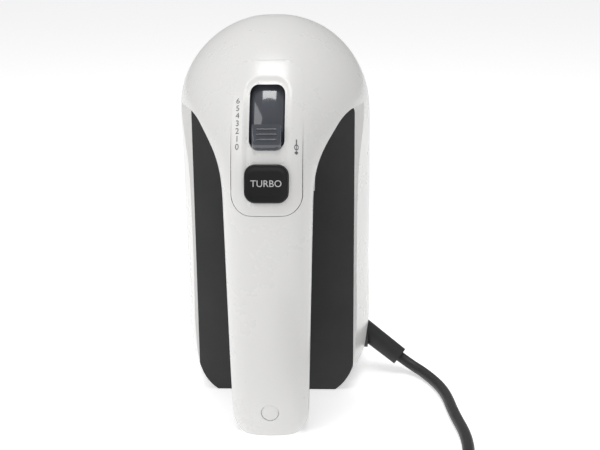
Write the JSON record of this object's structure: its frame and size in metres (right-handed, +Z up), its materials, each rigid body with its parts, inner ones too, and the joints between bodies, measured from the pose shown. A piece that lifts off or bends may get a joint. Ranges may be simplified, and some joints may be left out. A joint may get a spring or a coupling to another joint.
{
  "type": "hand mixer",
  "caption": "Hand-held electric mixer standing on its heel, with a domed nose, side rails, grip handle, arc speed lever, boost button, two wire beaters and a mains lead.",
  "frame": {"origin": "middle of the heel's flat rest face", "axes": "+Z up from the heel to the nose, +Y from the handle through to the beaters, +X to the right when looking at the handle"},
  "size_m": [0.1427, 0.3605, 0.1887],
  "materials": {
    "white_shell": "satin white, moulded",
    "dark_shell": "fine matte texture, near-black",
    "button_black": "semi-gloss black",
    "lever_grey": "glossy blue-grey",
    "label": "printed foil, blank",
    "steel": "machined",
    "chrome": "polished",
    "lamination": "varnished laminations",
    "copper": "enamelled copper",
    "bronze": "sintered bronze",
    "frame_plastic": "glass-filled",
    "nylon": "natural nylon",
    "carbon": "pressed carbon",
    "board": "circuit board",
    "rubber": "matte black",
    "blade": "nickel-plated brass"
  },
  "bodies": {
    "mixer_body": {"upper_housing": "white_shell", "lower_housing": "white_shell", "control_panel": "white_shell", "handle_screw_plug": "white_shell", "inner_saddle": "dark_shell", "handle_grip": "dark_shell", "heel_cap": "dark_shell", "housing_screws": "steel", "rating_plate": "label", "motor_field_core": "lamination", "field_windings": "copper", "rear_bearing": "bronze", "front_bearing": "bronze", "rear_bracket": "frame_plastic", "brush_holders": "bronze", "carbon_brushes": "carbon", "brush_springs": "steel", "spindle_bushes": "bronze", "gearbox_frame": "frame_plastic", "gearbox_cover": "frame_plastic", "speed_switch": "frame_plastic", "turbo_switch": "button_black", "circuit_board": "board", "cord_clamp": "frame_plastic", "clamp_screws": "steel", "cord_gland": "rubber", "strain_relief": "rubber", "power_cord": "rubber", "cord_coil": "rubber", "plug_body": "rubber", "plug_blades": "blade"},
    "armature": {"armature_shaft": "steel", "drive_worm": "steel", "armature_core": "lamination", "armature_windings": "copper", "commutator": "copper", "cooling_fan": "nylon"},
    "left_spindle_set": {"left_worm_wheel": "nylon", "left_spindle": "steel"},
    "right_spindle_set": {"right_worm_wheel": "nylon", "right_spindle": "steel"},
    "left_beater": {"left_beater_stem": "chrome", "left_beater_cage": "chrome"},
    "right_beater": {"right_beater_stem": "chrome", "right_beater_cage": "chrome"},
    "ejector": {"ejector_yoke": "frame_plastic", "ejector_spring": "steel"},
    "speed_lever_set": {"speed_lever": "lever_grey", "lever_contact": "bronze"},
    "turbo_set": {"turbo_button": "button_black", "turbo_spring": "steel"}
  },
  "joints": [
    {"name": "left_spindle_spin", "type": "hinge", "parent": "mixer_body", "child": "left_spindle_set", "pos_m": [-0.021, 0.002, 0.132], "axis": [0, 1, 0], "continuous": true},
    {"name": "right_spindle_spin", "type": "hinge", "parent": "mixer_body", "child": "right_spindle_set", "pos_m": [0.021, 0.002, 0.132], "axis": [0, 1, 0], "continuous": true},
    {"name": "motor_spin", "type": "hinge", "parent": "mixer_body", "child": "armature", "pos_m": [0, 0.002, 0.07], "axis": [0, 0, 1], "continuous": true},
    {"name": "left_beater_out", "type": "slide", "parent": "left_spindle_set", "child": "left_beater", "axis": [0, 1, 0], "range_m": [0, 0.0045]},
    {"name": "right_beater_out", "type": "slide", "parent": "right_spindle_set", "child": "right_beater", "axis": [0, 1, 0], "range_m": [0, 0.0045]},
    {"name": "eject_press", "type": "slide", "parent": "mixer_body", "child": "ejector", "axis": [0, 1, 0], "range_m": [0, 0.0045], "stiffness_N_per_m": 700, "springref_m": -0.004},
    {"name": "speed_slide", "type": "hinge", "parent": "ejector", "child": "speed_lever_set", "pos_m": [0, -0.015, 0.1075], "axis": [-1, 0, 0], "range_deg": [0, 12.5]},
    {"name": "turbo_press", "type": "slide", "parent": "mixer_body", "child": "turbo_set", "axis": [0, 0.9777, -0.2099], "range_m": [0, 0.002], "stiffness_N_per_m": 900, "springref_m": -0.001}
  ],
  "couplings": [
    {"joint": "right_spindle_spin", "follows": "left_spindle_spin", "ratio": -1},
    {"joint": "motor_spin", "follows": "left_spindle_spin", "ratio": 16},
    {"joint": "left_beater_out", "follows": "eject_press", "ratio": 1},
    {"joint": "right_beater_out", "follows": "eject_press", "ratio": 1}
  ]
}
